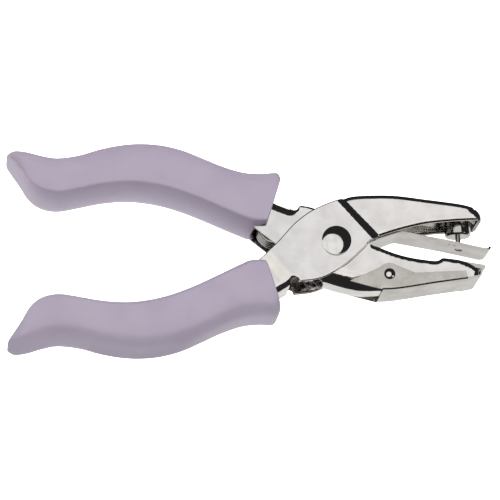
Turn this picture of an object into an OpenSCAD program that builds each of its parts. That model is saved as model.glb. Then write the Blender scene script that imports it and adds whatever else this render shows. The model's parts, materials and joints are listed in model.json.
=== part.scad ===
// Hand punch for single small holes: two nested pressed-steel levers on one rivet,
// a spring in the neck, vinyl grips, a punch pin above a die and a hinged chip tray.
// The tool lies on its side: the rivet's axis is +Z, the jaws point to +X.

/* [Sheet metal] */
// Thickness of the lever steel
sheet = 1; // [0.8:0.05:1.2]
// Outside half width of the nested channels
channel_half = 7.4; // [7.2:0.05:7.5]
// Running gap between the raised cheeks and the lever inside them
cheek_gap = 0.05; // [0.03:0.01:0.1]
// Thickness of the chip tray's steel
tray_sheet = 0.5; // [0.4:0.05:0.6]
// Thickness of the stripper strip
strip = 0.7; // [0.5:0.05:0.8]

/* [Pivot] */
// Radius of the rivet's shank
rivet_r = 3; // [2.8:0.05:3.1]
// Radius of the rivet's head
rivet_head_r = 4.5; // [4:0.1:5]
// Height of the domed head
rivet_dome = 2.1; // [1.5:0.1:2.3]
// Outside radius of the spacer sleeve
sleeve_r = 4.5; // [4.2:0.1:4.6]
// Radial running clearance of every hinge
running = 0.05; // [0.02:0.01:0.08]

/* [Punch and die] */
// Distance from the rivet to the punch
reach = 39; // [38.5:0.1:39.5]
// Radius of the punch pin: a 1/16 inch hole
pin_r = 0.8; // [0.75:0.05:0.85]
// Radius of the holder pressed into the upper jaw
holder_r = 4.05; // [3.8:0.05:4.1]
// Radius of the hole in the die
die_hole_r = 0.9; // [0.85:0.05:1]

/* [Spring] */
// Radius of the spring wire
wire_r = 0.75; // [0.6:0.05:0.8]
// Outside radius of the coil
coil_r = 5.5; // [5:0.1:5.6]
// Number of turns
coil_turns = 4; // [3:1:4]

/* [Grips] */
// Half thickness of the vinyl grips
grip_half = 11; // [10.5:0.1:11]

/* [Hidden] */
$fn = 48;

// The rivet's place, which centres the whole tool on the origin
pivot = [25.7, 0.89, grip_half];
channel_in = channel_half - sheet;
cheek_in = channel_half + cheek_gap;
cheek_out = cheek_in + sheet;
over = 0.4;
tray_in = channel_half + cheek_gap;
tray_out = tray_in + tray_sheet;
tray_pivot = [16.1, -10.25];
tray_rivet_r = 1.2;
coil_at = [-18, 5.9];
holder_foot = 3.6;
holder_top = 10.1;
pin_tip = -0.3;
// The upper handle sits a little closer in than the lower one's mirror image
handle_turn = 1.7;
handle_slip = 0.88;
// How far the levers close, and the height of the die's face when they have
closing = 9.6;
closed_height = 0.8;
// The die's face at rest: its closed place turned back by the closing angle
die_top = [reach * cos(closing) + closed_height * sin(closing), closed_height * cos(closing) - reach * sin(closing)];
die_thick = 1.4;

// ---------- curves ----------

function cr(a, b, c, d, t) =
    0.5 * (2 * b + (c - a) * t + (2 * a - 5 * b + 4 * c - d) * t * t
    + (3 * b - a - 3 * c + d) * t * t * t);

// Smooth curve through the points p, with n steps to a span
function smooth(p, n) = [
    for (i = [0 : len(p) - 2])
        for (k = [0 : n - 1])
            cr(p[max(i - 1, 0)], p[i], p[i + 1], p[min(i + 2, len(p) - 1)], k / n),
    p[len(p) - 1]
];

function arc(c, r, a, b, n) = [for (i = [0 : n]) c + r * [cos(a + (b - a) * i / n), sin(a + (b - a) * i / n)]];

// The points mirrored into the other handle
function flop(p) = [for (q = p) [q[0], -q[1]]];

// Points of the mirrored handle moved to where the upper handle sits
function seat(p) = [
    for (q = p)
        [q[0] * cos(handle_turn) - q[1] * sin(handle_turn) + handle_slip,
            q[0] * sin(handle_turn) + q[1] * cos(handle_turn)]
];

function flip(p) = [for (i = [len(p) - 1 : -1 : 0]) p[i]];

function unit(v) = v / norm(v);

// The line p moved sideways by d, to the left of its direction
function beside(p, d) = [
    for (i = [0 : len(p) - 1])
        let (v = unit(p[min(i + 1, len(p) - 1)] - p[max(i - 1, 0)]))
        p[i] + d * [-v[1], v[0]]
];

// A strip of thickness d to the left of the line p
function ribbon(p, d) = concat(p, flip(beside(p, d)));

// ---------- outlines, in millimetres from the rivet ----------

// Back and mouth edge of each handle inside its grip, shared by both levers
handle_back = smooth([[-84, 26.2], [-72, 28.6], [-59.6, 30.2], [-46.8, 27.8], [-34.4, 22]], 2);
handle_mouth = smooth([[-31.3, 10.6], [-40.7, 15], [-50, 18.6], [-62.4, 21], [-75, 20.4], [-84, 18.8]], 2);
upper_core_back = concat(seat(handle_back), [[-24.5, 16.6], [-20, 14.15]]);
upper_core_mouth = concat([[-26.4, 6.2]], seat(handle_mouth));
lower_core_back = concat(flop(handle_back), [[-24.5, -18.9], [-20.3, -16.83]]);
lower_core_mouth = concat([[-26.4, -7.8]], flop(handle_mouth));

upper_back = concat(upper_core_back, [[-17.4, 12.7], [-13.6, 11.2]]);
upper_notch = arc([-12.2, 11.3], 1.1, 195, 350, 5);
upper_neck = [[-10.6, 11.6], [-8.3, 11.3], [-5.8, 10.5], [-2, 8.6]];
lower_back = concat(lower_core_back, [[-17.4, -15.4], [-14.4, -13.6]]);
lower_notch = arc([-13.1, -12.5], 1.3, 190, -10, 6);

jaw_crown = smooth([[2.9, 14], [7, 15], [18, 15.2], [28, 14], [39, 12.5], [43, 11.4]], 2);
jaw_nose = arc([42.3, 8], 3.4, 70, -12, 4);
jaw_rim = [[41.3, 7], [36.4, 6.7], [31.8, 6.3], [26.8, 5.6], [19.3, 3.7], [13.3, 1.7]];
die_jaw_top = [[9.2, -0.4], [11.8, -1.1], [13.4, -1.6], [18.5, -3.6], [23.5, -4.9], [28.7, -5.7], [31.2, -5.8]];
die_jaw_nose = [[33, -5], [36.3, -5.3], [38.8, -5.8], [41, -6.7], [43, -8], [43.8, -9.4], [43.5, -10.8]];
die_jaw_foot = [[40.2, -11.3], [30.8, -12.6], [20, -14.3], [16, -14.4], [12.3, -14.4]];
die_jaw_back = smooth([[12.2, -14.9], [8, -14.8], [2, -13.7], [-3.6, -12]], 2);
die_cheek_rear = [[-7, -10.4], [-10, -7.2], [-18.3, -0.6], [-24.2, 4.2]];

cheek_back = smooth([[-21.6, -3.6], [-18.3, -0.6], [-12.2, 6], [-5.8, 10.5], [2.9, 13.7]], 2);
cheek_front = smooth([[12.9, 2.9], [8.6, -2.1], [2, -7.9], [-4.7, -11.6], [-11.8, -12.7]], 2);
// Short blocks inside the steps that join the raised cheeks to the jaw and the handle
front_link = [[2.2, 12.6], [3.2, 12.2], [11.6, 3], [10.8, 2.6]];
rear_link = [[-20.4, -4.2], [-19.4, -4.8], [-14.6, -10.6], [-15.2, -11.4]];
front_step = [[0.5, 12.9], [10.2, 1.4]];
rear_step = [[-14.4, -12.6], [-13.8, -9.6], [-20.6, -2.8]];

strip_line = concat([[4.4, -1.95], [11.5, 0.55], [16, 1.85]], arc([19.9, -1.85], 5.05, 98, 79, 3),
    [[46.2, -2.15], [47.6, -1.95], [48.5, -1.05]]);
tray_floor = [[15.6, -15], [19.4, -14.8], [30.8, -13], [40.2, -11.7], [43.6, -11.1], [44.6, -10.4], [44.7, -8.9]];
tray_side = concat([[4.3, -14.35], [14.2, -15.45]], [for (i = [0 : 3]) tray_floor[i]],
    [[39.7, -9.2], [24.1, -9.9], [20, -8.2]], arc(tray_pivot, 3.5, 55, 140, 6));

// Outer and inner edge of a grip at each station, tail first, before it is seated or mirrored
grip_stations = [
    [[-99.9, 30.9], [-98.6, 28.9]], [[-97.8, 32], [-95.8, 24.6]], [[-94, 31.6], [-93, 19.4]],
    [[-89.8, 30.4], [-89.4, 16.5]], [[-84.7, 29.4], [-84.5, 15.5]], [[-78, 30.1], [-78.4, 16.4]],
    [[-71.9, 31.8], [-72, 17.5]], [[-65.7, 33], [-65, 18]], [[-59.6, 33.4], [-58, 17.4]],
    [[-53.2, 32.8], [-51, 15.8]], [[-46.8, 31.1], [-44, 13.2]], [[-40.7, 28.4], [-37.5, 10.2]],
    [[-34.4, 25.5], [-32.2, 7.6]], [[-28.1, 23.4], [-29, 6]], [[-22.5, 22.8], [-27.4, 5.2]],
    [[-17.6, 23.2], [-26.4, 4.9]]
];
// The sides of a grip reach further towards the rivet than its inner wall
mouth_lip = [-22.6, 4.6];
// Each layer outside the channel: its far face, and how much its outer and inner edges are drawn in
grip_layers = [[8.6, 1.6, 0.2], [9.8, 3.2, 0.9], [11, 5.4, 2.2]];

// ---------- building blocks ----------

module place() translate(pivot) children();

// The outline drawn on both side walls, between two distances from the middle
module both_walls(outline, low, high)
    for (side = [0, 1])
        mirror([0, 0, side])
            translate([0, 0, low])
                linear_extrude(high - low)
                    polygon(outline);

module across(outline, half)
    translate([0, 0, -half])
        linear_extrude(2 * half)
            polygon(outline);

module pin(at, r, half)
    translate([at[0], at[1], -half])
        cylinder(r = r, h = 2 * half);

// A low dome of base radius r and height h, standing on z = 0
module dome(r, h)
    let (ball = (r * r + h * h) / (2 * h))
    rotate_extrude()
        polygon(concat([[0, 0], [r, 0]], [
            for (i = [1 : 6])
                let (a = acos(1 - h / ball) * (1 - i / 6))
                [i == 6 ? 0 : ball * sin(a), h - ball + ball * cos(a)]
        ]));

// ---------- levers ----------

module punch_lever() color("silver") place() difference() {
    union() {
        both_walls(concat(cheek_back, cheek_front, flip(lower_notch)), cheek_in, cheek_out);
        both_walls(front_link, channel_in + 0.3, cheek_out - 0.3);
        both_walls(rear_link, channel_in + 0.3, cheek_out - 0.3);
        both_walls(concat([front_step[0]], jaw_crown, jaw_nose, jaw_rim, [front_step[1]]), channel_in, channel_half);
        across(ribbon(concat(jaw_crown, jaw_nose), -sheet), channel_in);
        both_walls(concat(lower_back, rear_step, lower_core_mouth), channel_in, channel_half);
        across(ribbon(lower_back, sheet), channel_in);
    }
    pin([0, 0], rivet_r, cheek_out + over);
}

module die_lever() color("silver") place() difference() {
    union() {
        both_walls(concat(upper_back, upper_notch, upper_neck, arc([0, 0], 8.2, 100, 4, 8), die_jaw_top,
            die_jaw_nose, die_jaw_foot, die_jaw_back, die_cheek_rear, upper_core_mouth), channel_in, channel_half);
        across(ribbon(upper_back, -sheet), channel_in);
        across(ribbon(die_jaw_back, -sheet), channel_in);
    }
    pin([0, 0], rivet_r + running, channel_half + over);
    pin(tray_pivot, tray_rivet_r, channel_half + over);
}

// ---------- pivot ----------

module pivot_rivet() color("gainsboro") place() {
    pin([0, 0], rivet_r, cheek_out + 0.8);
    translate([0, 0, cheek_out]) dome(rivet_head_r, rivet_dome);
    mirror([0, 0, 1]) translate([0, 0, cheek_out + 0.8]) dome(3.6, 1.1);
}

module pivot_washer() color("silver") place()
    translate([0, 0, -cheek_out - 0.8]) difference() {
        cylinder(r = 5, h = 0.8);
        translate([0, 0, -over]) cylinder(r = rivet_r, h = 0.8 + 2 * over);
    }

module pivot_sleeve() color("gray") place() difference() {
    pin([0, 0], sleeve_r, channel_in - cheek_gap);
    pin([0, 0], rivet_r + running, channel_in);
}

// ---------- spring ----------

coil_mean = coil_r - wire_r;
coil_pitch = 2 * wire_r + 0.2;
coil_low = -coil_turns * coil_pitch / 2;

// Wire path: a leg in the lower handle, the coil, then a leg in the upper handle
spring_path = concat(
    smooth([[-31.5, -19.1, coil_low], [-24.5, -15.6, coil_low], [-18, -12.2, coil_low],
        [-14, -7.5, coil_low], [coil_at[0] + coil_mean, -0.5, coil_low]], 2),
    [for (i = [0 : 12 * coil_turns + 3])
        let (a = i * 30)
        [coil_at[0] + coil_mean * cos(a), coil_at[1] + coil_mean * sin(a), coil_low + coil_pitch * a / 360]],
    smooth([[-21.5, 11.9, -coil_low], [-25.5, 14.1, -coil_low], [-32.5, 17.6, -coil_low]], 2)
);

function frame_at(p, i) =
    let (t = unit(p[min(i + 1, len(p) - 1)] - p[max(i - 1, 0)]), s = unit(cross(t, [0, 0, 1])))
    [s, cross(s, t)];

function tube_points(p, r, sides) = [
    for (i = [0 : len(p) - 1])
        let (f = frame_at(p, i))
        for (k = [0 : sides - 1])
            p[i] + r * (f[0] * cos(360 * k / sides) + f[1] * sin(360 * k / sides))
];

function rings_faces(rings, sides) = concat(
    [[for (k = [0 : sides - 1]) k]],
    [for (i = [0 : rings - 2]) for (k = [0 : sides - 1])
        let (n = (k + 1) % sides)
        each [[i * sides + k, (i + 1) * sides + k, (i + 1) * sides + n],
            [i * sides + k, (i + 1) * sides + n, i * sides + n]]],
    [[for (k = [sides - 1 : -1 : 0]) (rings - 1) * sides + k]]
);

module return_spring() color("lightgray") place()
    polyhedron(tube_points(spring_path, wire_r, 6), rings_faces(len(spring_path), 6));

// ---------- grips ----------

// The grip's outline with its outer and inner edges drawn in, less where the tail is thin
function grip_outline(stations, outer, inner, last) =
    let (n = len(stations) - 1)
    concat(
        [for (s = stations) let (d = s[1] - s[0]) s[0] + unit(d) * min(outer, 0.45 * norm(d))],
        [last],
        [for (i = [n - 1 : -1 : 0]) let (s = stations[i], d = s[0] - s[1]) s[1] + unit(d) * min(inner, 0.2 * norm(d))]
    );

// The middle of a grip is a wall round the channel that it is pushed on to
function grip_wall(stations, back, mouth) =
    concat([for (s = stations) s[0]], flip(back), flip(mouth), flip([for (s = stations) s[1]]));

module grip_sides(stations, last)
    for (i = [0 : len(grip_layers) - 1])
        both_walls(
            grip_outline(stations, grip_layers[i][1], grip_layers[i][2], last),
            i == 0 ? channel_half : grip_layers[i - 1][0],
            grip_layers[i][0]);

module upper_grip() color("thistle") place() {
    across(grip_wall([for (s = grip_stations) seat(s)], upper_core_back, upper_core_mouth), channel_half);
    grip_sides([for (s = grip_stations) seat(s)], seat([mouth_lip])[0]);
}

module lower_grip() color("thistle") place() mirror([0, 1, 0]) {
    across(grip_wall(grip_stations, flop(lower_core_back), flop(lower_core_mouth)), channel_half);
    grip_sides(grip_stations, mouth_lip);
}

// ---------- punch, stripper and die ----------

// Turns a piece made along z so that it stands along the jaw's height
module upright(u, v) translate([u, v, 0]) rotate([-90, 0, 0]) children();

module punch_holder() color("silver") place() upright(reach, holder_foot) difference() {
    cylinder(r = holder_r, h = holder_top - holder_foot);
    translate([0, 0, -over]) cylinder(r = pin_r, h = 5 + over);
}

module punch_pin() color("dimgray") place()
    upright(reach, pin_tip) cylinder(r = pin_r, h = holder_foot + 5 - pin_tip);

module stripper_plate() color("lightgray") place() difference() {
    union() {
        across(ribbon(strip_line, strip), 6.2);
        pin([0, 0], sleeve_r + running + strip, 6.2);
    }
    pin([0, 0], sleeve_r + running, 7);
    upright(reach, -4) cylinder(r = 1.2, h = 8);
}

module die_frame() translate([die_top[0], die_top[1], 0]) rotate([0, 0, -closing]) children();

module die_plate() color("lightgray") place() difference() {
    die_frame() union() {
        translate([-5.8, -die_thick, -6.35]) cube([12.6, die_thick, 12.7]);
        translate([6.9, -0.75, -6.35]) cylinder(r = 0.8, h = 12.7);
    }
    die_frame() upright(0, -5) cylinder(r = 2.4, h = 10);
}

module die_bush() color("dimgray") place() die_frame() difference() {
    upright(0, -3.6) cylinder(r = 2.4, h = 3.6);
    upright(0, -5) cylinder(r = die_hole_r, h = 10);
}

// ---------- chip tray ----------

module chip_tray() color("darkgray") place() difference() {
    union() {
        both_walls(tray_side, tray_in, tray_out);
        across(ribbon(tray_floor, -tray_sheet), tray_out);
    }
    pin(tray_pivot, tray_rivet_r + running, tray_out + over);
}

module tray_rivets() color("silver") place()
    for (side = [0, 1])
        mirror([0, 0, side])
            translate([tray_pivot[0], tray_pivot[1], 0]) {
                translate([0, 0, channel_in - 0.4]) cylinder(r = 1.8, h = 0.4);
                translate([0, 0, channel_in - 0.4]) cylinder(r = tray_rivet_r, h = tray_out + 0.1 - channel_in + 0.4);
                translate([0, 0, tray_out + 0.05]) dome(1.7, 0.8);
            }

punch_lever();
die_lever();
lower_grip();
upper_grip();
pivot_rivet();
pivot_washer();
pivot_sleeve();
return_spring();
punch_holder();
punch_pin();
stripper_plate();
die_plate();
die_bush();
chip_tray();
tray_rivets();
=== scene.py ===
# Plier-type hand punch, laid on its side: plated pressed-steel levers, vinyl grips,
# spring, punch, stripper strip, die and chip tray. Millimetres from the rivet become
# metres in the shared frame through at().
import json
import math

import bmesh
import bpy
import numpy as np
from mathutils import Matrix, Vector
from mathutils.geometry import delaunay_2d_cdt


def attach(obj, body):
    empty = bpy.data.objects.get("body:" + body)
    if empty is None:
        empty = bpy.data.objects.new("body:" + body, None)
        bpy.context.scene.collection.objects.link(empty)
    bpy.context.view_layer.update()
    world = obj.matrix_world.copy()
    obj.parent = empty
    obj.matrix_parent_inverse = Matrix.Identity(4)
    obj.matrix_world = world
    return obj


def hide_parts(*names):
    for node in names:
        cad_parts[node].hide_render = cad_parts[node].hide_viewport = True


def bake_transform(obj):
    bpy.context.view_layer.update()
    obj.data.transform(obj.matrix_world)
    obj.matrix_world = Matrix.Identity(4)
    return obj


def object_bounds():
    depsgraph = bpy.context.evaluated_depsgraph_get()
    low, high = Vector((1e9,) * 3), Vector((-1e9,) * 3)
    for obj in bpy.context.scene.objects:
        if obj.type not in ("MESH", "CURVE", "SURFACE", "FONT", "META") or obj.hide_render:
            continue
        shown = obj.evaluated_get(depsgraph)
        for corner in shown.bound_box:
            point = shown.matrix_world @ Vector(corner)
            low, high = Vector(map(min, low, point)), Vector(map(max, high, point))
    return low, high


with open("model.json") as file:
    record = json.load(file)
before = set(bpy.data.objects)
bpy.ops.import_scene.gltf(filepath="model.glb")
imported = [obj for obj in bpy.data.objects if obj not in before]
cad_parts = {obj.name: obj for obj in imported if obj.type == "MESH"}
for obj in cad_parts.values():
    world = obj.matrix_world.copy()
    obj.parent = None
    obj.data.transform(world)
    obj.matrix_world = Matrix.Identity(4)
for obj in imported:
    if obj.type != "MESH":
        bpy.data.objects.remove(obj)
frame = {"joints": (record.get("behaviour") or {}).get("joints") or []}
cad_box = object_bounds()

MM = 0.001
JOINT = {j["name"]: j for j in frame["joints"]}
RIVET = Vector(JOINT["squeeze"]["pos_m"])


def at(u, v, z=0.0):
    """A point given in millimetres from the rivet's centre, in the shared frame."""
    return RIVET + Vector((u, v, z)) * MM


# ------------------------------------------------------------------ camera

# The point looked at, the way back to the lens, how far off it is, and the width it takes in
VIEW_POINT = at(-26.6, -3.2, 9.5)
VIEW_FROM = Vector((-0.10, -0.27, 0.95)).normalized()
VIEW_DISTANCE = 0.9
VIEW_WIDTH = 0.1515
SENSOR_MM = 36


def make_camera():
    """A long lens looking down on the tool, turned so that its length runs level."""
    data = bpy.data.cameras.new("camera")
    data.sensor_width = SENSOR_MM
    data.lens = data.sensor_width * VIEW_DISTANCE / VIEW_WIDTH
    camera = bpy.data.objects.new("camera", data)
    bpy.context.scene.collection.objects.link(camera)
    right = Vector((1, 0, 0))
    right = (right - VIEW_FROM * right.dot(VIEW_FROM)).normalized()
    up = VIEW_FROM.cross(right)
    turn = Matrix((right, up, VIEW_FROM)).transposed().to_4x4()
    camera.matrix_world = Matrix.Translation(VIEW_POINT + VIEW_FROM * VIEW_DISTANCE) @ turn
    bpy.context.scene.camera = camera


make_camera()

# ------------------------------------------------------------------ colours and node helper


def colour(code):
    """An sRGB hex code as linear RGBA."""
    parts = [int(code[i:i + 2], 16) / 255 for i in (1, 3, 5)]
    return [c / 12.92 if c <= 0.04045 else ((c + 0.055) / 1.055) ** 2.4 for c in parts] + [1.0]


def add(tree, kind, inputs=None, **settings):
    """One node with its settings; an input is a value or another node's output."""
    node = tree.nodes.new(kind)
    for key, value in settings.items():
        setattr(node, key, value)
    for key, value in (inputs or {}).items():
        if isinstance(value, bpy.types.NodeSocket):
            tree.links.new(value, node.inputs[key])
        else:
            node.inputs[key].default_value = value
    return node


def new_material(name):
    """An empty node material and its tree."""
    material = bpy.data.materials.new(name)
    material.use_nodes = True
    material.node_tree.nodes.clear()
    return material, material.node_tree


# The patches where a plated surface has dulled a little, and how unevenly polishing lines run
PATCH_MM = 5.0
ALONG_GRAIN = (0.12, 1, 1)


def plated_steel(name, light, dark, roughness, scratch_mm=0.25, wave_mm=9.0, wave=0.02, grain=0.03):
    """Nickel-chrome plate on pressed steel: near-mirror with the faint waves of the pressing
    and a fine directional grain left by polishing, a little duller in soft patches."""
    material, tree = new_material(name)
    place = add(tree, "ShaderNodeTexCoord").outputs["Object"]
    grained = add(tree, "ShaderNodeMapping", {"Vector": place, "Scale": ALONG_GRAIN}).outputs["Vector"]
    waves, lines, patches = [
        add(tree, "ShaderNodeTexNoise", {
            "Vector": where, "Scale": 1 / (size_mm * MM), "Detail": detail}).outputs["Fac"]
        for where, size_mm, detail in (
            (place, wave_mm, 1.0), (grained, scratch_mm, 3.0), (place, PATCH_MM, 4.0))]
    bright = add(tree, "ShaderNodeMapRange", {"Value": patches, "From Min": 0.35, "From Max": 0.65})
    tint = add(tree, "ShaderNodeMix", {
        0: bright.outputs["Result"], 6: colour(dark), 7: colour(light)}, data_type="RGBA")
    rough = add(tree, "ShaderNodeMapRange", {
        "Value": patches, "From Min": 0.3, "From Max": 0.7,
        "To Min": roughness * 1.25, "To Max": roughness * 0.8})
    pressed = add(tree, "ShaderNodeBump", {
        "Height": waves, "Strength": wave, "Distance": wave_mm * MM * 0.1})
    polished = add(tree, "ShaderNodeBump", {
        "Height": lines, "Strength": grain, "Distance": scratch_mm * MM,
        "Normal": pressed.outputs["Normal"]})
    shader = add(tree, "ShaderNodeBsdfPrincipled", {
        "Base Color": tint.outputs[2], "Metallic": 1.0, "Roughness": rough.outputs["Result"],
        "Normal": polished.outputs["Normal"]})
    add(tree, "ShaderNodeOutputMaterial", {"Surface": shader.outputs["BSDF"]})
    return material


# The real pebble is about 0.1 mm; it is drawn at 0.35 mm so that it shows
PEBBLE_MM = 0.35
LUMP_MM = 2.4
MOTTLE_MM = 11.0


def soft_vinyl(name, light, dark):
    """Moulded plasticised PVC: satin, with a pebbled skin too fine to see except as a broken
    sheen, and a faint mottle where it has been handled."""
    material, tree = new_material(name)
    place = add(tree, "ShaderNodeTexCoord").outputs["Object"]
    pebble, lumps, mottle = [
        add(tree, "ShaderNodeTexNoise", {
            "Vector": place, "Scale": 1 / (size_mm * MM), "Detail": detail}).outputs["Fac"]
        for size_mm, detail in ((PEBBLE_MM, 2.0), (LUMP_MM, 3.0), (MOTTLE_MM, 4.0))]
    handled = add(tree, "ShaderNodeMapRange", {"Value": mottle, "From Min": 0.3, "From Max": 0.7})
    tint = add(tree, "ShaderNodeMix", {
        0: handled.outputs["Result"], 6: colour(dark), 7: colour(light)}, data_type="RGBA")
    rough = add(tree, "ShaderNodeMapRange", {
        "Value": lumps, "From Min": 0.3, "From Max": 0.7, "To Min": 0.42, "To Max": 0.54})
    soft = add(tree, "ShaderNodeBump", {"Height": lumps, "Strength": 0.12, "Distance": 0.2 * MM})
    skin = add(tree, "ShaderNodeBump", {
        "Height": pebble, "Strength": 0.25, "Distance": 0.05 * MM, "Normal": soft.outputs["Normal"]})
    shader = add(tree, "ShaderNodeBsdfPrincipled", {
        "Base Color": tint.outputs[2], "Roughness": rough.outputs["Result"], "IOR": 1.53,
        "Specular IOR Level": 0.5, "Normal": skin.outputs["Normal"]})
    add(tree, "ShaderNodeOutputMaterial", {"Surface": shader.outputs["BSDF"]})
    return material


# Lever faces: almost a mirror, with slow waves from the press
LEVER_PLATE = plated_steel(
    "nickel_chrome_plated_pressed_steel", "#F1EFEC", "#E3E0DC", 0.08, wave_mm=13.0, wave=0.05)
# Cut edges of the sheet: torn by the shear, so darker and duller than the faces
SHEARED_EDGE = plated_steel("sheared_plated_edge", "#A39F9B", "#85817D", 0.3, scratch_mm=0.15, grain=0.12)
# Rivet heads: the brightest polish, with no waves
RIVET_PLATE = plated_steel("polished_rivet_steel", "#F1F0EE", "#E4E2DF", 0.05, wave=0.0)
# Tray: thin sheet with a satin plate that blurs what it reflects
TRAY_PLATE = plated_steel("satin_nickel_plated_sheet", "#D6D2CB", "#C7C3BC", 0.24, grain=0.08)
# Strip and die plate: bright plate on hard steel, a shade softer than the levers
STRIP_PLATE = plated_steel("bright_plated_strip_steel", "#CFCBC6", "#BFBBB5", 0.16, grain=0.05)
# Holder, washer and sleeve: plate over a fine tool finish, which mirrors softly
TURNED_PLATE = plated_steel("plated_turned_steel", "#D8D5D1", "#C4C1BC", 0.12, scratch_mm=0.15)
# Pin and bush: unplated and ground, greyer and duller than the plated faces
TOOL_STEEL = plated_steel("ground_tool_steel", "#B5B1AB", "#9B978F", 0.2, scratch_mm=0.12, grain=0.08)
# Spring: smooth from the drawing die, so each coil carries one clean highlight
SPRING_WIRE = plated_steel("drawn_spring_wire", "#D2CFCA", "#B8B4AE", 0.14, scratch_mm=0.2)
# Grips: pale lavender, with a broken satin sheen and no sharp highlight
GRIP_VINYL = soft_vinyl("moulded_soft_vinyl", "#B9AEC0", "#B2A6BA")

# ------------------------------------------------------------------ lines


def smooth(points, steps):
    """Catmull-Rom curve through the points."""
    p = [np.array(q, float) for q in points]
    line = []
    for i in range(len(p) - 1):
        a, b, c, d = p[max(i - 1, 0)], p[i], p[i + 1], p[min(i + 2, len(p) - 1)]
        for k in range(steps):
            t = k / steps
            line.append(0.5 * (2 * b + (c - a) * t + (2 * a - 5 * b + 4 * c - d) * t * t
                               + (3 * b - a - 3 * c + d) * t ** 3))
    return line + [p[-1]]


def arc(centre, radius, start, end, steps):
    """Points round part of a circle, between two angles in degrees."""
    angles = [math.radians(start + (end - start) * i / steps) for i in range(steps + 1)]
    return [np.array((centre[0] + radius * math.cos(a), centre[1] + radius * math.sin(a))) for a in angles]


def beside(line, distance):
    """The line moved sideways, to the left of its direction."""
    out = []
    for i, p in enumerate(line):
        step = np.array(line[min(i + 1, len(line) - 1)]) - np.array(line[max(i - 1, 0)])
        step = step / np.linalg.norm(step)
        out.append(np.array(p) + distance * np.array((-step[1], step[0])))
    return out


def flop(points):
    """The same line on the other side of the rivet's level."""
    return [np.array((p[0], -p[1])) for p in points]


def denser(line, spacing, closed=False):
    """The same line with no stretch longer than spacing."""
    out = []
    ends = list(line[1:]) + ([line[0]] if closed else [])
    for a, b in zip(line, ends):
        a, b = np.array(a, float), np.array(b, float)
        count = max(1, math.ceil(np.linalg.norm(b - a) / spacing))
        out += [a + (b - a) * i / count for i in range(count)]
    return out if closed else out + [np.array(line[-1], float)]


def distance_to(points, line):
    """Distance of each point to a polyline."""
    p = np.array(points, float)[:, None, :]
    a = np.array(line[:-1], float)[None]
    d = np.array(line[1:], float)[None] - a
    t = np.clip(((p - a) * d).sum(2) / np.maximum((d * d).sum(2), 1e-12), 0, 1)
    return np.linalg.norm(p - a - t[..., None] * d, axis=2).min(1)


def inside(points, outline):
    """Which points lie inside a closed outline."""
    p = np.array(points, float)
    a = np.array(outline, float)
    b = np.roll(a, -1, 0)
    x, y = p[:, 0, None], p[:, 1, None]
    crosses = (a[None, :, 1] > y) != (b[None, :, 1] > y)
    rise = b[:, 1] - a[:, 1]
    rise = np.where(rise == 0, 1e-12, rise)
    at_x = a[None, :, 0] + (y - a[None, :, 1]) * ((b[:, 0] - a[:, 0]) / rise)[None]
    return (crosses & (x < at_x)).sum(1) % 2 == 1


def fill(outline, holes=(), lines=(), spacing=0.6):
    """Triangles filling an outline, with holes, that keep the given inner lines as edges."""
    loops = [denser(outline, spacing, True)] + [denser(h, spacing, True) for h in holes]
    paths = [denser(line, spacing) for line in lines]
    points, edges = [], []
    for loop in loops:
        first = len(points)
        points += loop
        edges += [(first + i, first + (i + 1) % len(loop)) for i in range(len(loop))]
    for path in paths:
        kept = inside(path, loops[0])
        first = len(points)
        points += path
        edges += [(first + i, first + i + 1) for i in range(len(path) - 1) if kept[i] and kept[i + 1]]
    corner_low, corner_high = np.min(loops[0], 0), np.max(loops[0], 0)
    xs = np.arange(corner_low[0], corner_high[0], spacing)
    ys = np.arange(corner_low[1], corner_high[1], spacing)
    grid = np.array([(x + 0.5 * spacing * (j % 2), y) for j, y in enumerate(ys) for x in xs])
    keep = inside(grid, loops[0])
    for loop in loops:
        keep &= distance_to(grid, loop + [loop[0]]) > 0.5 * spacing
    for hole in loops[1:]:
        keep &= ~inside(grid, hole)
    for path in paths:
        keep &= distance_to(grid, path) > 0.4 * spacing
    points += list(grid[keep])
    result = delaunay_2d_cdt([Vector(p) for p in points], edges, [], 0, 1e-5)
    corners = np.array([tuple(v) for v in result[0]])
    triangles = [tuple(f) for f in result[2]]
    centres = np.array([corners[list(f)].mean(0) for f in triangles])
    keep = inside(centres, loops[0])
    for hole in loops[1:]:
        keep &= ~inside(centres, hole)
    used = [f for f, k in zip(triangles, keep) if k]
    number = {}
    for f in used:
        for i in f:
            number.setdefault(i, len(number))
    order = sorted(number, key=number.get)
    flat = corners[order]
    faces = []
    for f in used:
        a, b, c = (number[i] for i in f)
        turn = np.cross(flat[b] - flat[a], flat[c] - flat[a])
        faces.append((a, b, c) if turn > 0 else (a, c, b))
    return flat, faces


# ------------------------------------------------------------------ meshes


# Edges sharper than this many degrees stay crisp: on sheet and wire, then on turned and moulded pieces
SHEET_CREASE = 40
TURNED_CREASE = 35


def new_piece(name, points, faces, material):
    """A mesh object from points in millimetres from the rivet."""
    mesh = bpy.data.meshes.new(name)
    mesh.from_pydata([at(*p) for p in points], [], faces)
    mesh.validate()
    piece = bpy.data.objects.new(name, mesh)
    bpy.context.scene.collection.objects.link(piece)
    mesh.materials.append(material)
    finish_shading(piece, SHEET_CREASE)
    return piece


def finish_shading(piece, crease):
    """Smooth shading that breaks at the creases."""
    mesh = piece.data
    mesh.polygons.foreach_set("use_smooth", [True] * len(mesh.polygons))
    mesh.set_sharp_from_angle(angle=math.radians(crease))


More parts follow.
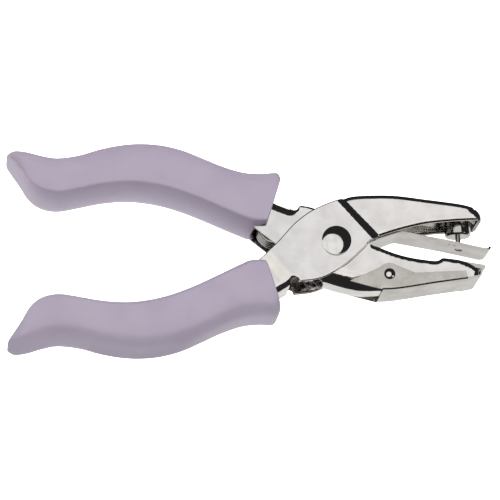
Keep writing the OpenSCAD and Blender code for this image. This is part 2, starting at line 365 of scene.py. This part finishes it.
def weld(piece):
    """Closes the seams and poles of a skin and turns its faces outwards."""
    whole = bmesh.new()
    whole.from_mesh(piece.data)
    bmesh.ops.remove_doubles(whole, verts=whole.verts, dist=0.0002 * MM)
    bmesh.ops.recalc_face_normals(whole, faces=whole.faces)
    whole.to_mesh(piece.data)
    whole.free()
    finish_shading(piece, TURNED_CREASE)
    return piece


def thicken(piece, thickness, edge=None):
    """Gives a sheet its thickness, inwards from the face that was drawn."""
    if edge:
        piece.data.materials.append(edge)
    solid = piece.modifiers.new("thickness", "SOLIDIFY")
    solid.thickness = thickness * MM
    solid.offset = -1
    solid.material_offset_rim = 1 if edge else 0
    graph = bpy.context.evaluated_depsgraph_get()
    mesh = bpy.data.meshes.new_from_object(piece.evaluated_get(graph))
    piece.modifiers.clear()
    piece.data = mesh
    finish_shading(piece, SHEET_CREASE)
    return piece


def join(pieces, name):
    """Several meshes of one physical piece become one object."""
    whole = bmesh.new()
    for piece in pieces:
        whole.from_mesh(piece.data)
    mesh = bpy.data.meshes.new(name)
    whole.to_mesh(mesh)
    whole.free()
    for material in pieces[0].data.materials:
        mesh.materials.append(material)
    out = bpy.data.objects.new(name, mesh)
    bpy.context.scene.collection.objects.link(out)
    for piece in pieces:
        bpy.data.objects.remove(piece)
    finish_shading(out, SHEET_CREASE)
    return out


def loft(rings):
    """Points and faces of a skin over closed rings that all have the same number of points."""
    points = [tuple(p) for ring in rings for p in ring]
    size = len(rings[0])
    faces = []
    for i in range(len(rings) - 1):
        for k in range(size):
            n = (k + 1) % size
            faces.append((i * size + k, i * size + n, (i + 1) * size + n, (i + 1) * size + k))
    return points, faces


def tube(path, radius, sides):
    """Points and faces of a round bar along a path."""
    path = [np.array(p, float) for p in path]
    rings = []
    side = None
    for i, p in enumerate(path):
        along = path[min(i + 1, len(path) - 1)] - path[max(i - 1, 0)]
        along = along / np.linalg.norm(along)
        if side is None:
            side = np.cross(along, (0, 0, 1.0))
        side = side - along * side.dot(along)
        side = side / np.linalg.norm(side)
        other = np.cross(along, side)
        rings.append([p + radius * (side * math.cos(a) + other * math.sin(a))
                      for a in (2 * math.pi * k / sides for k in range(sides))])
    points, faces = loft(rings)
    faces.append(tuple(range(sides))[::-1])
    faces.append(tuple(len(points) - sides + k for k in range(sides)))
    return points, faces


def turned(profile, centre, axis, sides=96):
    """Points and faces of a turned piece: profile is (distance along the axis, radius)."""
    axis = np.array(axis, float)
    side = np.cross(axis, (1.0, 0, 0))
    side = side / np.linalg.norm(side)
    other = np.cross(axis, side)
    rings = []
    for along, radius in profile:
        radius = max(radius, 1e-4)
        rings.append([np.array(centre) + axis * along + radius * (side * math.cos(a) + other * math.sin(a))
                      for a in (2 * math.pi * k / sides for k in range(sides))])
    return loft(rings)


def filleted(corners, radius, steps=4):
    """A profile with every corner but its first and last rounded."""
    p = [np.array(c, float) for c in corners]
    out = [p[0]]
    for a, b, c in zip(p, p[1:], p[2:]):
        r = min(radius, 0.45 * np.linalg.norm(a - b), 0.45 * np.linalg.norm(c - b))
        start = b + (a - b) / np.linalg.norm(a - b) * r
        end = b + (c - b) / np.linalg.norm(c - b) * r
        shares = [k / steps for k in range(steps + 1)]
        out += [(1 - t) ** 2 * start + 2 * t * (1 - t) * b + t * t * end for t in shares]
    return out + [p[-1]]


def riding(piece, body, slot, *nodes):
    """The piece moves with a body and stands for its CAD nodes; slot is not used."""
    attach(piece, body)
    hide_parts(*nodes)


# ------------------------------------------------------------------ pressed channels

SHEET = 1.0
# A curled edge stops short of a full bend by this share of its radius
ROLL_SHARE = 0.12
# Outer faces above the middle: the plain walls, and the punch lever's cheek nested outside them
WALL = 7.4
CHEEK = 8.45


def bend_lines(back, radius, side, steps=6):
    """Lines along a bend at which the wall turns through equal angles."""
    depths = [radius * (1 - math.cos(math.pi / 2 * k / steps)) for k in range(1, steps + 1)]
    return [beside(back, side * depth) for depth in depths]


def channel(name, outline, backs, height, material, holes=(), lines=(), rolls=(), spacing=0.6,
            thickness=SHEET):
    """A pressed channel lying on its side: both walls, the rounded bends and the web.
    backs are the stretches of the outline that bend over: (line, radius, side of the inside).
    rolls are edges that only curl a little."""
    inner = list(lines)
    for back, radius, side in backs:
        inner += bend_lines(back, radius, side)
    for edge, radius, side in rolls:
        inner += bend_lines(edge, radius, side, 3)
    flat, faces = fill(outline, holes, inner, spacing)
    tall = np.array([height(u, v) for u, v in flat])
    drop = np.zeros(len(flat))
    for edge, radius, side in list(backs) + list(rolls):
        least = 0 if any(edge is b[0] for b in backs) else ROLL_SHARE * radius
        gap = np.clip(distance_to(flat, edge), least, radius)
        drop = np.maximum(drop, radius - np.sqrt(np.maximum(radius ** 2 - (radius - gap) ** 2, 0)))
    tall -= drop
    count = len(flat)
    points = [(u, v, z) for (u, v), z in zip(flat, tall)] + [(u, v, -z) for (u, v), z in zip(flat, tall)]
    skin = list(faces) + [tuple(i + count for i in reversed(f)) for f in faces]
    number = {(round(u, 3), round(v, 3)): i for i, (u, v) in enumerate(flat)}
    for back, radius, side in backs:
        run = [number.get((round(u, 3), round(v, 3))) for u, v in denser(back, spacing)]
        for a, b in zip(run, run[1:]):
            if a is None or b is None:
                continue
            quad = (a, b, b + count, a + count)
            skin.append(quad if side < 0 else quad[::-1])
    piece = new_piece(name, points, skin, material)
    return thicken(piece, thickness, SHEARED_EDGE)


def between(u, v, start, end):
    """Signed distance of a point from a line, positive to its left."""
    along = np.array(end, float) - np.array(start, float)
    return float(np.cross(along, np.array((u, v)) - np.array(start)) / np.linalg.norm(along))


def ease(t):
    """A share from 0 to 1 that starts and stops gently."""
    t = min(max(t, 0.0), 1.0)
    return t * t * (3 - 2 * t)


# Handles: back line and mouth edge of the channels inside the grips
HANDLE_BACK = smooth([(-84, 26.2), (-72, 28.6), (-59.6, 30.2), (-46.8, 27.8), (-34.4, 22)], 4)
HANDLE_MOUTH = smooth([(-31.3, 10.6), (-40.7, 15), (-50, 18.6), (-62.4, 21), (-75, 20.4), (-84, 18.8)], 3)
# The upper handle sits a little closer in than the lower one's mirror image
SEAT_TURN = math.radians(1.7)
SEAT_SLIP = 0.88


def seat(points):
    """Points of the mirrored handle moved to where the upper handle sits."""
    c, s = math.cos(SEAT_TURN), math.sin(SEAT_TURN)
    return [np.array((p[0] * c - p[1] * s + SEAT_SLIP, p[0] * s + p[1] * c)) for p in points]


# Punch lever: step lines between the raised cheek and the jaw, and the cheek and the handle
JAW_STEP = ((2.9, 13.8), (12.9, 2.9))
JAW_STEP_TOP = ((0.7, 12.9), (10.4, 1.4))
HANDLE_STEP = ((-17.8, -12.6), (-24.6, -4.9))
HANDLE_STEP_TOP = ((-14.0, -9.4), (-19.4, -2.6))


def punch_lever_height(u, v):
    """Height of the punch lever's wall above the middle: the cheek stands out by a sheet."""
    low, high = between(u, v, *JAW_STEP), between(u, v, *JAW_STEP_TOP)
    front = ease(-low / (high - low)) if high != low else 0.0
    low, high = between(u, v, *HANDLE_STEP), between(u, v, *HANDLE_STEP_TOP)
    rear = ease(-low / (high - low)) if high != low else 0.0
    return WALL + (CHEEK - WALL) * min(front, rear)


# Radii of the rivet's hole through each lever
PUNCH_SIDE_HOLE = 3.02
DIE_SIDE_HOLE = 3.05


def punch_lever():
    """Upper jaw and lower handle in one pressing: the crown, the nose and the handle's back bend
    right over, and the other edges only curl."""
    neck = [np.array(p) for p in ((-24.5, -18.9), (-20.3, -16.83), (-17.4, -15.4), (-14.4, -13.6))]
    back = flop(HANDLE_BACK) + neck
    crown = smooth([(2.9, 14), (7, 15), (18, 15.2), (28, 14), (39, 12.5), (43, 11.4)], 5)[:-1]
    nose = arc((42.3, 8), 3.4, 70, -12, 10)
    rim = smooth([(45.6, 7.1), (41.3, 7), (36.4, 6.7), (31.8, 6.3), (26.8, 5.6), (19.3, 3.7),
                  (13.3, 1.7)], 4)
    front = smooth([(13.3, 1.7), (10.4, 0), (8.6, -2.1), (2, -7.9), (-4.7, -11.6), (-11.8, -12.7)], 5)[1:]
    notch = arc((-13.1, -12.5), 1.3, -10, 190, 10)
    top = smooth([(-25.7, -7.3), (-18.3, -0.6), (-12.2, 6), (-5.8, 10.5), (2.9, 14)], 5)
    mouth = flop(HANDLE_MOUTH[::-1])
    outline = crown + nose + rim[1:] + front + notch + back[::-1] + mouth + top[:-1]
    steps = [denser(s, 1.0) for s in (JAW_STEP, JAW_STEP_TOP, HANDLE_STEP, HANDLE_STEP_TOP)]
    bends = [(crown, 1.6, -1), (nose, 2.6, -1), (back, 2.5, 1)]
    curls = [(rim[1:], 1.0, -1), (front, 0.45, -1), (top, 0.32, -1), (notch, 0.8, 1)]
    return channel("punch_lever_body", outline, bends, punch_lever_height, LEVER_PLATE,
                   holes=[arc((0, 0), PUNCH_SIDE_HOLE, 0, 360, 40)[:-1]], lines=steps, rolls=curls,
                   spacing=0.5)


riding(punch_lever(), "punch_side", "lever_steel", "punch_lever")


def die_lever():
    """Lower jaw and upper handle in one pressing, nested between the punch lever's cheeks: open
    along the jaw's top, where the die plate sits, and closed under the rivet and up the
    handle's back."""
    shoulder = [np.array(p) for p in ((-24.5, 16.6), (-20, 14.15), (-17.4, 12.7), (-13.6, 11.2))]
    back = seat(HANDLE_BACK) + shoulder
    notch = arc((-12.2, 11.3), 1.1, 195, 350, 8)
    neck = smooth([(-10.6, 11.6), (-8.3, 11.3), (-5.8, 10.5), (-2, 8.6)], 4)
    crest = arc((0, 0), 8.2, 100, 4, 14)
    jaw = smooth([(9.2, -0.4), (11.8, -1.1), (13.4, -1.6), (18.5, -3.6), (23.5, -4.9), (28.7, -5.7),
                  (31.2, -5.8), (33, -5), (36.3, -5.3), (38.8, -5.8), (41, -6.7), (43, -8), (43.8, -9.4),
                  (43.5, -10.8)], 4)
    foot = [(40.2, -11.3), (30.8, -12.6), (20, -14.2), (16.4, -14.3)]
    web = smooth([(14.3, -14.72), (8, -14.8), (2, -13.7), (-3.6, -12)], 5)
    rear = smooth([(-7, -10.4), (-10, -7.2), (-18.3, -0.6), (-24.2, 4.2)], 3)
    mouth = [np.array((-26.4, 6.2))] + seat(HANDLE_MOUTH)
    outline = back + notch + neck + crest + jaw + foot + web + rear + mouth
    bends = [(back, 3.4, -1), (web, 6.0, -1)]
    curls = [(jaw[4:], 1.4, -1), (notch, 0.8, 1), (neck, 0.6, -1)]
    return channel("die_lever_body", outline, bends, lambda u, v: WALL, LEVER_PLATE,
                   holes=[arc((0, 0), DIE_SIDE_HOLE, 0, 360, 40)[:-1]], rolls=curls, spacing=0.55)


riding(die_lever(), "die_side", "lever_steel", "die_lever")

# ------------------------------------------------------------------ grips

# Sections from the tail to the mouth: each one's back and its finger side
GRIP_STATIONS = (
    ((-99.9, 30.9), (-98.6, 28.9)), ((-97.8, 32), (-95.8, 24.6)), ((-94, 31.6), (-93, 19.4)),
    ((-89.8, 30.4), (-89.4, 16.5)), ((-84.7, 29.4), (-84.5, 15.5)), ((-78, 30.1), (-78.4, 16.4)),
    ((-71.9, 31.8), (-72, 17.5)), ((-65.7, 33), (-65, 18)), ((-59.6, 33.4), (-58, 17.4)),
    ((-53.2, 32.8), (-51, 15.8)), ((-46.8, 31.1), (-44, 13.2)), ((-40.7, 28.4), (-37.5, 10.2)),
    ((-34.4, 25.5), (-32.2, 7.6)), ((-28.1, 23.4), (-29, 6)), ((-22.5, 22.8), (-27.4, 5.2)),
    ((-19.4, 23.0), (-26.8, 5.0)), ((-18.1, 22.6), (-26.5, 4.9)), ((-17.6, 21.4), (-26.4, 4.9)))
GRIP_HALF = 11.0
# The upper grip is open a little wider at its back than the lower one, over its last stations
MOUTH_FLARE = 1.1
FLARED_STATIONS = 3
# Towards the tail the grip thins by this share, over this many sections
TAIL_THINNING = 0.35
TAIL_SECTIONS = 14
# Towards the mouth its flanks run this far ahead, over this many sections, the whole way from
# this height up
FLANK_REACH = 3.9
FLANK_SECTIONS = 12
FLANK_HEIGHT = 9
# The channel inside the mouth: its back, its finger side, its half width and how deep it goes
BORE_BACK = np.array((-20.6, 15.6))
BORE_FRONT = np.array((-25.6, 6.4))
BORE_HALF = 7.9
BORE_DEPTH = (-7, 3.2)
# No grip reaches past these: the tail's end, the back, and the back of the seated upper grip
TAIL_END = -99.9
GRIP_BACK = 33.38
SEATED_BACK = 31.61

# How far each side of a grip is drawn in (mm) at each height: the back is full and round,
# the finger side slopes out to a ridge under the flat face
BACK_ROUND = ((0, 0), (0, 3), (0.12, 5.6), (0.6, 7.7), (1.6, 9.3), (3.1, 10.4), (4.8, 10.85), (6.6, 11))
FINGER_RIDGE = (
    (0, 0), (0.1, 3), (0.45, 5.6), (1.0, 7.8), (1.6, 9.5), (1.95, 10.3), (2.45, 10.72), (3.3, 10.88),
    (5.4, 11))
# On narrow sections the rounding takes no more than this share of the width
ROUND_SHARE = 0.42


def grip_ring(outer, inner, half, flank=0.0):
    """A section across the grip; flank pushes its sides on towards the rivet."""
    across = inner - outer
    wide = float(np.linalg.norm(across))
    squeeze = min(1.0, ROUND_SHARE * wide / BACK_ROUND[-1][0])
    back = [(d * squeeze / wide, z) for d, z in smooth(BACK_ROUND, 3)]
    ridge = [(1 - d * squeeze / wide, z) for d, z in smooth(FINGER_RIDGE, 3)]
    span = [(back[-1][0] + (ridge[-1][0] - back[-1][0]) * k / 6, GRIP_HALF) for k in range(1, 6)]
    upper = back + span + ridge[::-1]
    lower = [(f, -z) for f, z in upper[-2:0:-1]]
    ring = []
    for f, z in upper + lower:
        p = outer + across * f
        z = z * half / GRIP_HALF
        ring.append((p[0] + flank * min(1, abs(z) / FLANK_HEIGHT) ** 4 * f, p[1], z))
    return ring


def vinyl_grip(name, side):
    """Dip-moulded grip: full and round at the back, softly ridged along the fingers, with a
    scooped tail and a flared open mouth round the channel. side is 1 for the upper handle."""
    flared = len(GRIP_STATIONS) - (FLARED_STATIONS if side > 0 else 0)
    outer = smooth([(back[0] + (MOUTH_FLARE if i >= flared else 0), back[1])
                    for i, (back, front) in enumerate(GRIP_STATIONS)], 5)
    inner = smooth([front for back, front in GRIP_STATIONS], 5)
    last = len(outer) - 1
    rings = []
    for i, (o, n) in enumerate(zip(outer, inner)):
        near_tail = 1 - min(i / TAIL_SECTIONS, 1)
        half = GRIP_HALF * (1 - TAIL_THINNING * near_tail ** 2.5)
        flank = FLANK_REACH * max(0, (i - last + FLANK_SECTIONS) / FLANK_SECTIONS) ** 2
        rings.append(grip_ring(o, n, half, flank))
    tail = [tuple(np.mean(rings[0], 0) + (-0.1, 0.05, 0))] * len(rings[0])
    soft = [tuple(np.array(p) * 0.75 + np.array(tail[0]) * 0.25) for p in rings[0]]
    centre = np.append((outer[-1] + inner[-1]) / 2, 0)
    rim = [tuple(centre + (np.array(p) - centre) * 0.965 + (0.35, 0.06, 0)) for p in rings[-1]]
    bore = grip_ring(BORE_BACK, BORE_FRONT, BORE_HALF)
    deep = [(u + BORE_DEPTH[0], v + BORE_DEPTH[1], z) for u, v, z in bore]
    points, faces = loft([tail, soft] + rings + [rim, bore, deep])
    points = [(max(u, TAIL_END), min(v, GRIP_BACK), z) for u, v, z in points]
    if side > 0:
        points = [(u, min(v, SEATED_BACK), z) for (u, v), z in ((seat([p])[0], p[2]) for p in points)]
    else:
        points = [(u, -v, z) for u, v, z in points]
        faces = [f[::-1] for f in faces]
    return weld(new_piece(name, points, faces, GRIP_VINYL))


riding(vinyl_grip("upper_grip_skin", 1), "die_side", "grip_vinyl", "upper_grip")
riding(vinyl_grip("lower_grip_skin", -1), "punch_side", "grip_vinyl", "lower_grip")

# ------------------------------------------------------------------ rivets and washer

UP = (0, 0, 1)
DOME_STEPS = 14
# Radii of the main rivet's shank, its head and its peened end, and of the washer under that end
SHANK = 3.0
RIVET_HEAD = 4.5
PEENED_END = 3.6
WASHER = 5.0
WASHER_SHEET = 0.8


def domed(radius, height, rim):
    """Profile of a domed head from its crown down to its seat, with a rounded rim."""
    rise = height - rim
    ball = (radius * radius + rise * rise) / (2 * rise)
    reach = math.acos(1 - rise / ball)
    turns = [reach * k / DOME_STEPS for k in range(DOME_STEPS + 1)]
    dome = [(rim + rise - ball + ball * math.cos(a), ball * math.sin(a)) for a in turns]
    edge = [(rim * (1 - k / 4), radius - 0.12 * (1 - math.sin(math.pi * k / 4))) for k in range(1, 5)]
    return dome + edge


def pivot_rivet():
    """The main rivet: a low domed head on one cheek, and a peened end on the washer."""
    far = -CHEEK - WASHER_SHEET
    head = [(CHEEK + a, r) for a, r in domed(RIVET_HEAD, 2.1, 1.05)]
    shank = [(CHEEK, SHANK), (far, SHANK)]
    peened = [(far - a, r) for a, r in domed(PEENED_END, 1.1, 0.2)][::-1]
    return weld(new_piece("pivot_rivet_body", *turned(head + shank + peened, (0, 0, 0), UP), RIVET_PLATE))


riding(pivot_rivet(), "punch_side", "rivet_steel", "pivot_rivet")


def pivot_washer():
    """The clinch washer, with its edges softened."""
    low, high = -CHEEK - WASHER_SHEET, -CHEEK
    section = filleted([(high, SHANK), (high, WASHER), (low, WASHER), (low, SHANK)], 0.15)
    profile = section + [(high, SHANK)]
    return weld(new_piece("pivot_washer_ring", *turned(profile, (0, 0, 0), UP), TURNED_PLATE))


riding(pivot_washer(), "punch_side", "plain_steel", "pivot_washer")

TRAY_PIVOT = (16.1, -10.25)
# A tray rivet's shank: where the head sits on it, where the inner end begins, and its radius
TRAY_RIVET_SEAT = 8.0
TRAY_RIVET_END = 6.4
TRAY_SHANK = 1.2


def tray_rivets():
    """Two small domed rivets, one through each wall, that the tray turns on."""
    head = [(TRAY_RIVET_SEAT + a, r) for a, r in domed(1.7, 0.8, 0.12)]
    shank = [(TRAY_RIVET_SEAT, TRAY_SHANK), (TRAY_RIVET_END, TRAY_SHANK)]
    inner = [(TRAY_RIVET_END, 1.75), (6.05, 1.8), (6.0, 1.7), (6.0, 0.0)]
    skins = [turned(head + shank + inner, (*TRAY_PIVOT, 0), (0, 0, side), 40) for side in (1, -1)]
    return join([weld(new_piece("tray_rivet", *skin, RIVET_PLATE)) for skin in skins], "tray_rivet_pair")


riding(tray_rivets(), "die_side", "rivet_steel", "tray_rivets")

# ------------------------------------------------------------------ spring

WIRE_RADIUS = 0.75
COIL_AT = (-18, 5.9)
COIL_MEAN = 4.75
COIL_PITCH = 1.7
COIL_TURNS = 4
COIL_STEPS = 24


def return_spring():
    """Torsion spring: a leg up from the lower handle's web, the coil, and a leg along the upper's."""
    low = -COIL_TURNS * COIL_PITCH / 2
    leg = smooth([(-31.5, -19.1, low), (-24.5, -15.6, low), (-18, -12.2, low), (-14, -7.5, low),
                  (COIL_AT[0] + COIL_MEAN, -0.5, low)], 6)
    coil = []
    for i in range(COIL_STEPS * COIL_TURNS + 7):
        a = 2 * math.pi * i / COIL_STEPS
        coil.append(np.array((COIL_AT[0] + COIL_MEAN * math.cos(a), COIL_AT[1] + COIL_MEAN * math.sin(a),
                              low + COIL_PITCH * i / COIL_STEPS)))
    rest = smooth([(-21.5, 11.9, -low), (-25.5, 14.1, -low), (-32.5, 17.6, -low)], 6)
    return new_piece("return_spring_wire", *tube(leg + coil + rest, WIRE_RADIUS, 16), SPRING_WIRE)


spring = return_spring()
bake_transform(spring)
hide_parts("return_spring")

# ------------------------------------------------------------------ punch holder and stripper

# How far ahead of the rivet the pin stands, and the way its holder points
REACH = 39.0
JAW_WAY = (0, 1, 0)
PIN_BORE = 0.82
HOLDER_RADIUS = 4.05
HOLDER_FOOT = 3.6
HOLDER_TOP = 10.1
HOLDER_CHAMFER = 0.5


def punch_holder():
    """The turned boss under the jaw that carries the pin, with a chamfered foot."""
    corners = [(HOLDER_FOOT, PIN_BORE), (HOLDER_FOOT, HOLDER_RADIUS - HOLDER_CHAMFER),
               (HOLDER_FOOT + HOLDER_CHAMFER, HOLDER_RADIUS), (HOLDER_TOP, HOLDER_RADIUS),
               (HOLDER_TOP, PIN_BORE)]
    profile = filleted(corners, 0.2) + corners[:1]
    return weld(new_piece("punch_holder_boss", *turned(profile, (REACH, 0, 0), JAW_WAY), TURNED_PLATE))


riding(punch_holder(), "punch_side", "plain_steel", "punch_holder")

STRIP = 0.7
STRIP_HALF = 5.75
STRIP_CORNER = 1.2
STRIP_HOLE = 1.2
EYE_IN = 4.55
# Two small slots behind the pin's hole: how far behind it, how far off the middle, half sizes
SLOTS_BEHIND = (3.6, 1.9)
SLOT_ASIDE = 3.9
SLOT_HALF = (0.35, 0.9)


def stripper_plate():
    """The spring-steel strip that pushes the paper off the pin, with its upturned lip and the eye
    that hangs on the sleeve."""
    line = smooth([(4.4, -1.95), (11.5, 0.55), (16, 1.85)], 5)[:-1] + arc((19.9, -1.85), 5.05, 98, 79, 6)
    line = line + denser([(20.9, 3.1), (34, 0.6), (46.2, -2.15)], 2.0)[1:]
    line = line + smooth([(46.2, -2.15), (47.6, -1.95), (48.5, -1.05)], 4)[1:]
    top = beside(line, STRIP)
    run = [0.0]
    for a, b in zip(line, line[1:]):
        run.append(run[-1] + float(np.linalg.norm(np.array(b) - np.array(a))))
    pin_at = float(np.interp(REACH, [float(p[0]) for p in line], run))
    corner = [(run[-1] - STRIP_CORNER * (1 - math.sin(a)),
               (STRIP_HALF - STRIP_CORNER) + STRIP_CORNER * math.cos(a))
              for a in (math.pi / 2 * k / 5 for k in range(6))]
    side = [(0.0, STRIP_HALF)] + corner
    outline = [np.array(p) for p in side + [(x, -z) for x, z in side[::-1]]][::-1]
    holes = [arc((pin_at, 0), STRIP_HOLE, 0, 360, 24)[:-1]]
    x, z = SLOT_HALF
    for behind in SLOTS_BEHIND:
        slot_at = pin_at - behind
        holes.append([np.array((slot_at + dx, SLOT_ASIDE + dz))
                      for dx, dz in ((-x, -z), (x, -z), (x, z), (-x, z))])
    flat, faces = fill(outline, holes, [], 0.7)
    points = []
    for along, z in flat:
        u = float(np.interp(along, run, [p[0] for p in top]))
        v = float(np.interp(along, run, [p[1] for p in top]))
        points.append((u, v, z))
    strip = new_piece("stripper_strip", points, [f[::-1] for f in faces], STRIP_PLATE)
    thicken(strip, STRIP)
    ring = [(-STRIP_HALF, EYE_IN), (-STRIP_HALF, EYE_IN + STRIP), (STRIP_HALF, EYE_IN + STRIP),
            (STRIP_HALF, EYE_IN), (-STRIP_HALF, EYE_IN)]
    eye = weld(new_piece("stripper_eye", *turned(ring, (0, 0, 0), UP), STRIP_PLATE))
    return join([strip, eye], "stripper_strip_body")


riding(stripper_plate(), "stripper", "strip_steel", "stripper_plate")

# ------------------------------------------------------------------ chip tray

TRAY_HALF = 7.95
TRAY_SHEET = 0.5
TRAY_EAR = 3.5
TRAY_HOLE = 1.25
# The turned-up end stops this far inside each wall's face
TRAY_END_GAP = 0.2


def chip_tray():
    """Folded tray that catches the chips: two ears on the rivets, a floor and a turned-up end."""
    floor = smooth([(14.0, -15.15), (19.4, -14.8), (30.8, -13), (40.2, -11.7)], 5)
    ear = arc(TRAY_PIVOT, TRAY_EAR, 55, 140, 12)
    top = [np.array(p) for p in ((39.7, -9.2), (24.1, -9.9), (20, -8.2))]
    outline = [np.array((3.9, -12.4)), np.array((8.5, -13.7))] + floor + top + ear
    sides = channel("tray_sides", outline, [(floor, 0.7, 1)], lambda u, v: TRAY_HALF, TRAY_PLATE,
                    holes=[arc(TRAY_PIVOT, TRAY_HOLE, 0, 360, 24)[:-1]], thickness=TRAY_SHEET)
    lip = smooth([(40.2, -11.7), (43.6, -11.1), (44.6, -10.4), (44.7, -8.9)], 5)
    half = TRAY_HALF - TRAY_END_GAP
    rings = [[(*low, half), (*high, half), (*high, -half), (*low, -half)]
             for low, high in zip(lip, beside(lip, TRAY_SHEET))]
    points, faces = loft(rings)
    faces += [(0, 1, 2, 3), tuple(len(points) - 1 - k for k in range(4))]
    end = weld(new_piece("tray_end", points, faces, TRAY_PLATE))
    return join([sides, end], "chip_tray_body")


riding(chip_tray(), "tray", "tray_steel", "chip_tray")

# ------------------------------------------------------------------ CAD pieces kept as they are


def finish_cad(node, material):
    """Gives a CAD piece its finish and leaves its shape and place alone."""
    piece = bpy.data.objects[node]
    piece.data.materials.clear()
    piece.data.materials.append(material)


finish_cad("die_plate", STRIP_PLATE)
finish_cad("die_bush", TOOL_STEEL)
finish_cad("punch_pin", TOOL_STEEL)
finish_cad("pivot_sleeve", TURNED_PLATE)

# ------------------------------------------------------------------ studio

# Metres, as everything below here. The paper lies just under the tool, and the two cards on it
PAPER_DROP = 0.0002
PAPER_HALF = 1.0
PAPER_GLOW = 0.75
TABLE_LIFT = 0.00005
TABLE_HALF = 0.5
TABLE_GLOW = 1.6
BOUNCE_LIFT = 0.0001
BOUNCE_HALF = (0.1, 0.031)
BOUNCE_GLOW = 0.8
SOFTBOX_AT = (-0.1, 0.25, 0.8)
SOFTBOX_SIZE = 1.5
SOFTBOX_WATTS = 12
# The round silk is what the polished faces mirror; its clouds are about this broad
SILK_AT = (-0.25, -0.08, 1.1)
SILK_RADIUS = 0.86
SILK_GLOW = 0.98
SILK_CLOUD = 0.5
# The upright strip light: the two ends of its foot, its lowest and highest edge
STRIP_LIGHT_FOOT = ((0.64, -0.52), (0.82, -0.2))
STRIP_LIGHT_LOW = 0.32
STRIP_LIGHT_HIGH = 0.66
STRIP_LIGHT_GLOW = 0.9
ROOM_TINT = "#272729"


def glowing(name, tint, strength):
    """A material that only gives light."""
    material, tree = new_material(name)
    shader = add(tree, "ShaderNodeEmission", {"Color": colour(tint), "Strength": strength})
    add(tree, "ShaderNodeOutputMaterial", {"Surface": shader.outputs["Emission"]})
    return material


def glowing_silk():
    """The silk's glow, with broad faint clouds so that what mirrors it isn't quite even."""
    material, tree = new_material("softbox_silk")
    place = add(tree, "ShaderNodeTexCoord").outputs["Object"]
    clouds = add(tree, "ShaderNodeTexNoise", {"Vector": place, "Scale": 1 / SILK_CLOUD, "Detail": 1.0})
    bright = add(tree, "ShaderNodeMapRange", {
        "Value": clouds.outputs["Fac"], "From Min": 0.35, "From Max": 0.65})
    tint = add(tree, "ShaderNodeMix", {
        0: bright.outputs["Result"], 6: colour("#E9E9EE"), 7: colour("#FFFDF9")}, data_type="RGBA")
    shader = add(tree, "ShaderNodeEmission", {"Color": tint.outputs[2], "Strength": SILK_GLOW})
    add(tree, "ShaderNodeOutputMaterial", {"Surface": shader.outputs["Emission"]})
    return material


def backdrop_paper():
    """White uncoated paper, evenly lit."""
    material, tree = new_material("white_backdrop_paper")
    shader = add(tree, "ShaderNodeBsdfPrincipled", {
        "Base Color": colour("#F4F4F4"), "Roughness": 0.95, "Specular IOR Level": 0.1,
        "Emission Color": colour("#FFFFFF"), "Emission Strength": PAPER_GLOW})
    add(tree, "ShaderNodeOutputMaterial", {"Surface": shader.outputs["BSDF"]})
    return material


def flat_card(name, corners, material):
    """One flat face that belongs to the studio and not to the tool."""
    mesh = bpy.data.meshes.new(name)
    mesh.from_pydata(corners, [], [tuple(range(len(corners)))])
    mesh.materials.append(material)
    card = bpy.data.objects.new(name, mesh)
    bpy.context.scene.collection.objects.link(card)
    return card


def level_card(name, x, y, height, material):
    """A flat card lying level, x and y being half its sides."""
    return flat_card(name, [(-x, -y, height), (x, -y, height), (x, y, height), (-x, y, height)], material)


def only_reflected(card):
    """The card is seen only in the polished metal."""
    card.visible_camera = False
    card.visible_diffuse = False
    card.visible_shadow = False
    card.visible_transmission = False


def lay_paper():
    """The paper is seen but not mirrored; the glow lights undersides; the small card fills the
    mirrored dark under the tool."""
    low = cad_box[0][2] - PAPER_DROP
    floor = level_card("floor", PAPER_HALF, PAPER_HALF, low, backdrop_paper())
    floor.visible_glossy = False
    floor.visible_diffuse = False
    under = level_card("table_glow", TABLE_HALF, TABLE_HALF, low + TABLE_LIFT,
                       glowing("dim_table_glow", "#FFFFFF", TABLE_GLOW))
    under.visible_camera = False
    under.visible_glossy = False
    under.visible_shadow = False
    only_reflected(level_card("bounce_card", *BOUNCE_HALF, low + BOUNCE_LIFT,
                              glowing("white_bounce_card", "#FFFFFF", BOUNCE_GLOW)))


def hang_lights():
    """A wide soft light overhead, the silk that polished faces mirror, and a strip light."""
    light = bpy.data.lights.new("overhead_softbox", "AREA")
    light.shape = "RECTANGLE"
    light.size = SOFTBOX_SIZE
    light.size_y = SOFTBOX_SIZE
    light.energy = SOFTBOX_WATTS
    lamp = bpy.data.objects.new("overhead_softbox", light)
    lamp.location = SOFTBOX_AT
    lamp.visible_glossy = False
    bpy.context.scene.collection.objects.link(lamp)
    x, y, z = SILK_AT
    edge = [(SILK_RADIUS * math.cos(a) + x, SILK_RADIUS * math.sin(a) + y, z)
            for a in (2 * math.pi * k / 48 for k in range(48))]
    only_reflected(flat_card("softbox_silk", edge, glowing_silk()))
    near, far = STRIP_LIGHT_FOOT
    strip = [(*near, STRIP_LIGHT_LOW), (*far, STRIP_LIGHT_LOW),
             (*far, STRIP_LIGHT_HIGH), (*near, STRIP_LIGHT_HIGH)]
    only_reflected(flat_card("strip_light", strip, glowing("strip_light_silk", "#FFFFFF", STRIP_LIGHT_GLOW)))


def darken_room():
    """Everything past the lights is a nearly black room."""
    world = bpy.data.worlds.new("dark_room")
    world.use_nodes = True
    world.node_tree.nodes["Background"].inputs["Color"].default_value = colour(ROOM_TINT)
    world.node_tree.nodes["Background"].inputs["Strength"].default_value = 1.0
    bpy.context.scene.world = world
    bpy.context.scene.view_settings.view_transform = "Standard"


lay_paper()
hang_lights()
darken_room()
